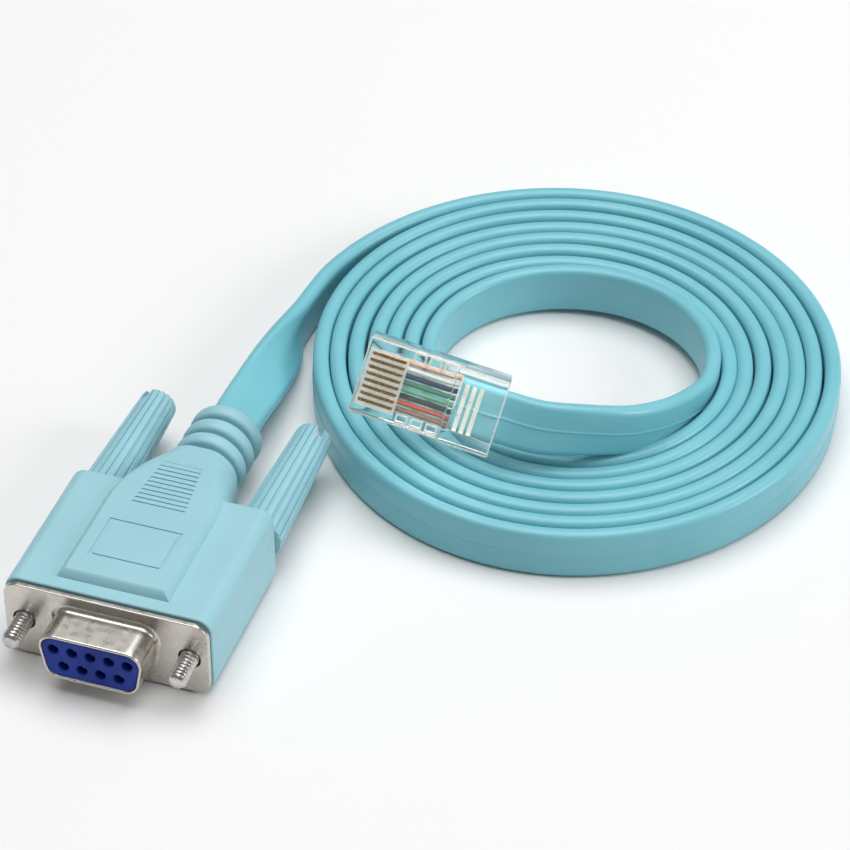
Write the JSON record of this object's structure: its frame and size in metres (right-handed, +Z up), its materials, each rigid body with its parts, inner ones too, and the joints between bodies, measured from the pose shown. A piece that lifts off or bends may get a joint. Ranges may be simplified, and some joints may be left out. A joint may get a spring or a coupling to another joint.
{
  "type": "console cable",
  "caption": "Flat data cable coiled on its edge, with a D-sub socket in a moulded thumbscrew hood on one end and a clear modular plug on the other.",
  "frame": {"origin": "on the floor under the middle of the socket, hood and thumbscrews, without the cable and plug", "axes": "+X across the socket, -Y the way the socket mates, +Y towards the cable, +Z up from the floor that the hood lies on"},
  "size_m": [0.0998, 0.1261, 0.0267],
  "materials": {
    "hood": "satin moulded PVC, pale cyan",
    "jacket": "soft satin PVC, pale cyan",
    "nickel": "nickel-plated pressed steel",
    "insulator": "deep blue moulded insulator",
    "gold": "gold-plated contact",
    "screw_steel": "plated steel screw",
    "clear_plastic": "clear polycarbonate",
    "wire_orange": "insulated core",
    "wire_white": "insulated core",
    "wire_blue": "insulated core",
    "wire_green": "insulated core",
    "wire_pale_green": "insulated core",
    "wire_black": "insulated core",
    "wire_red": "insulated core",
    "wire_brown": "insulated core"
  },
  "bodies": {
    "cable_set": {"hood": "hood", "shell": "nickel", "insulator": "insulator", "contact_1": "gold", "contact_2": "gold", "contact_3": "gold", "contact_4": "gold", "contact_5": "gold", "contact_6": "gold", "contact_7": "gold", "contact_8": "gold", "contact_9": "gold", "cable_tail": "jacket", "cable_coil": "jacket", "cable_end": "jacket", "plug_body": "clear_plastic", "plug_contact_1": "gold", "plug_contact_2": "gold", "plug_contact_3": "gold", "plug_contact_4": "gold", "plug_contact_5": "gold", "plug_contact_6": "gold", "plug_contact_7": "gold", "plug_contact_8": "gold", "wire_1": "wire_orange", "wire_2": "wire_white", "wire_3": "wire_blue", "wire_4": "wire_green", "wire_5": "wire_pale_green", "wire_6": "wire_black", "wire_7": "wire_red", "wire_8": "wire_brown"},
    "thumbscrew_left": {"knob_left": "hood", "screw_left": "screw_steel"},
    "thumbscrew_right": {"knob_right": "hood", "screw_right": "screw_steel"}
  },
  "joints": [
    {"name": "thumbscrew_left_spin", "type": "hinge", "parent": "cable_set", "child": "thumbscrew_left", "pos_m": [-0.01249, 0, 0.0066], "axis": [0, 1, 0], "continuous": true},
    {"name": "thumbscrew_right_spin", "type": "hinge", "parent": "cable_set", "child": "thumbscrew_right", "pos_m": [0.01249, 0, 0.0066], "axis": [0, 1, 0], "continuous": true}
  ]
}
